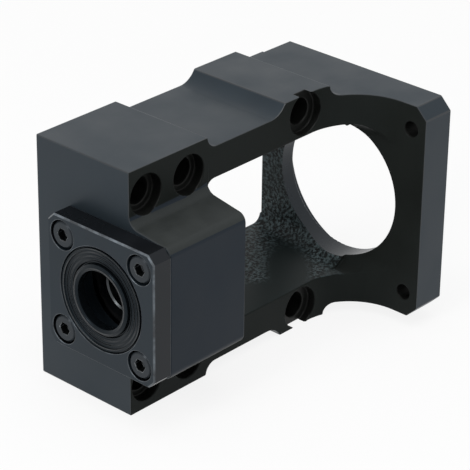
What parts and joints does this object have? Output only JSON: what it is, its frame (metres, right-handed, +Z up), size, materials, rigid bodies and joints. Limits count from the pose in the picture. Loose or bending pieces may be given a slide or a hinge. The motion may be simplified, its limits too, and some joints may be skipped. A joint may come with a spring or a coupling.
{
  "type": "stepper motor mount",
  "caption": "Blackened cast bracket that joins a ball screw's fixed-end bearing housing to a stepper motor flange across an open coupling space, with sealed angular contact bearings.",
  "frame": {"origin": "centre of the motor pilot recess, on the motor face and on the screw axis", "axes": "+X along the screw axis from the bearings towards the motor, +Y out of the base face, +Z up with the bracket lying on its side pads"},
  "size_m": [0.099, 0.0557, 0.0668],
  "materials": {
    "casting": "blackened, machined faces satin, cast faces rough",
    "cover": "blackened, ground satin",
    "screws": "blackened",
    "seal_rubber": "moulded, slightly glossy",
    "bearing_steel": "ground",
    "ball_steel": "polished",
    "cage_polyamide": "moulded"
  },
  "bodies": {
    "housing": {"bracket_casting": "casting", "bearing_cover": "cover", "cover_screws": "screws", "front_seal": "seal_rubber", "rear_seal": "seal_rubber", "front_outer_ring": "bearing_steel", "rear_outer_ring": "bearing_steel"},
    "inner_rings": {"front_inner_ring": "bearing_steel", "rear_inner_ring": "bearing_steel"},
    "ball_sets": {"front_cage": "cage_polyamide", "front_balls": "ball_steel", "rear_cage": "cage_polyamide", "rear_balls": "ball_steel"}
  },
  "joints": [
    {"name": "journal_spin", "type": "hinge", "parent": "housing", "child": "inner_rings", "pos_m": [-0.0823, 0, 0], "axis": [1, 0, 0], "continuous": true},
    {"name": "ball_orbit", "type": "hinge", "parent": "housing", "child": "ball_sets", "pos_m": [-0.0823, 0, 0], "axis": [1, 0, 0], "continuous": true}
  ],
  "couplings": [
    {"joint": "ball_orbit", "follows": "journal_spin", "ratio": 0.397}
  ]
}
